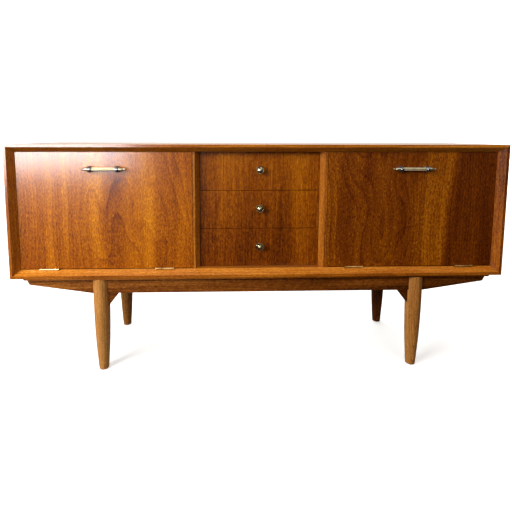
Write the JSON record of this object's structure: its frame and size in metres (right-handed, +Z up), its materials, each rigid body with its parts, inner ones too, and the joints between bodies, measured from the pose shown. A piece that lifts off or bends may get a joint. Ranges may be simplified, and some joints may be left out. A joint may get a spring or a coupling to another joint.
{
  "type": "sideboard",
  "caption": "Long low teak sideboard: bevelled case on tapered round legs, drop-front flap doors on sliding stays either side of a stack of grooved-side drawers.",
  "frame": {"origin": "on the floor, under the middle of the sideboard's footprint", "axes": "+Z up, +X along the length to the right seen from the front, -Y out of the front"},
  "size_m": [1.7, 0.42, 0.795],
  "materials": {
    "teak_veneer": "oiled teak veneer",
    "door_veneer": "satin lacquered figured teak veneer, grain upright",
    "solid_teak": "oiled solid teak",
    "plywood": "bare plywood",
    "beech": "waxed beech",
    "steel": "zinc plated",
    "brass": "aged polished brass",
    "handle_metal": "fluted plated metal",
    "catch_plastic": "moulded"
  },
  "bodies": {
    "case": {"top_panel": "teak_veneer", "bottom_panel": "teak_veneer", "left_side_panel": "teak_veneer", "right_side_panel": "teak_veneer", "front_lipping_rails": "solid_teak", "front_lipping_stiles": "solid_teak", "left_divider": "teak_veneer", "right_divider": "teak_veneer", "back_panel": "plywood", "back_screws": "steel", "shelves": "teak_veneer", "shelf_pegs": "steel", "drawer_runners": "beech", "hinge_case_leaves": "brass", "hinge_pins": "brass", "case_screws": "steel", "stay_guide_plates": "steel", "catch_bodies": "catch_plastic", "front_rail": "solid_teak", "back_rail": "solid_teak", "cross_rails": "solid_teak", "front_left_leg": "solid_teak", "front_right_leg": "solid_teak", "back_left_leg": "solid_teak", "back_right_leg": "solid_teak", "leg_brackets": "solid_teak", "capping_strips": "solid_teak", "base_screws": "steel"},
    "left_door": {"left_door_panel": "door_veneer", "left_door_edging": "solid_teak", "left_door_hinge_leaves": "brass", "left_door_screws": "steel", "left_handle_bar": "handle_metal", "left_handle_posts": "brass", "left_stay_bracket": "steel", "left_catch_strike": "steel"},
    "left_stay_rod": {"left_stay_rod": "steel"},
    "left_stay_guide": {"left_stay_guide": "brass"},
    "right_door": {"right_door_panel": "door_veneer", "right_door_edging": "solid_teak", "right_door_hinge_leaves": "brass", "right_door_screws": "steel", "right_handle_bar": "handle_metal", "right_handle_posts": "brass", "right_stay_bracket": "steel", "right_catch_strike": "steel"},
    "right_stay_rod": {"right_stay_rod": "steel"},
    "right_stay_guide": {"right_stay_guide": "brass"},
    "drawer_1": {"drawer_1_front": "door_veneer", "drawer_1_sides_and_back": "beech", "drawer_1_bottom": "plywood", "drawer_1_knob": "brass"},
    "drawer_2": {"drawer_2_front": "door_veneer", "drawer_2_sides_and_back": "beech", "drawer_2_bottom": "plywood", "drawer_2_knob": "brass"},
    "drawer_3": {"drawer_3_front": "door_veneer", "drawer_3_sides_and_back": "beech", "drawer_3_bottom": "plywood", "drawer_3_knob": "brass"}
  },
  "joints": [
    {"name": "left_door_hinge", "type": "hinge", "parent": "case", "child": "left_door", "pos_m": [-0.5285, -0.1895, 0.3645], "axis": [1, 0, 0], "range_deg": [0, 90]},
    {"name": "left_stay_rod_pivot", "type": "hinge", "parent": "left_door", "child": "left_stay_rod", "pos_m": [-0.811, -0.156, 0.54136], "axis": [1, 0, 0], "range_deg": [-45, 0]},
    {"name": "left_stay_guide_swivel", "type": "hinge", "parent": "case", "child": "left_stay_guide", "pos_m": [-0.811, -0.07868, 0.50634], "axis": [1, 0, 0], "range_deg": [0, 45]},
    {"name": "right_door_hinge", "type": "hinge", "parent": "case", "child": "right_door", "pos_m": [0.5285, -0.1895, 0.3645], "axis": [1, 0, 0], "range_deg": [0, 90]},
    {"name": "right_stay_rod_pivot", "type": "hinge", "parent": "right_door", "child": "right_stay_rod", "pos_m": [0.811, -0.156, 0.54136], "axis": [1, 0, 0], "range_deg": [-45, 0]},
    {"name": "right_stay_guide_swivel", "type": "hinge", "parent": "case", "child": "right_stay_guide", "pos_m": [0.811, -0.07868, 0.50634], "axis": [1, 0, 0], "range_deg": [0, 45]},
    {"name": "drawer_1_slide", "type": "slide", "parent": "case", "child": "drawer_1", "axis": [0, -1, 0], "range_m": [0, 0.28]},
    {"name": "drawer_2_slide", "type": "slide", "parent": "case", "child": "drawer_2", "axis": [0, -1, 0], "range_m": [0, 0.28]},
    {"name": "drawer_3_slide", "type": "slide", "parent": "case", "child": "drawer_3", "axis": [0, -1, 0], "range_m": [0, 0.28]}
  ],
  "couplings": [
    {"joint": "left_stay_rod_pivot", "follows": "left_door_hinge", "ratio": -0.5},
    {"joint": "left_stay_guide_swivel", "follows": "left_door_hinge", "ratio": 0.5},
    {"joint": "right_stay_rod_pivot", "follows": "right_door_hinge", "ratio": -0.5},
    {"joint": "right_stay_guide_swivel", "follows": "right_door_hinge", "ratio": 0.5}
  ]
}
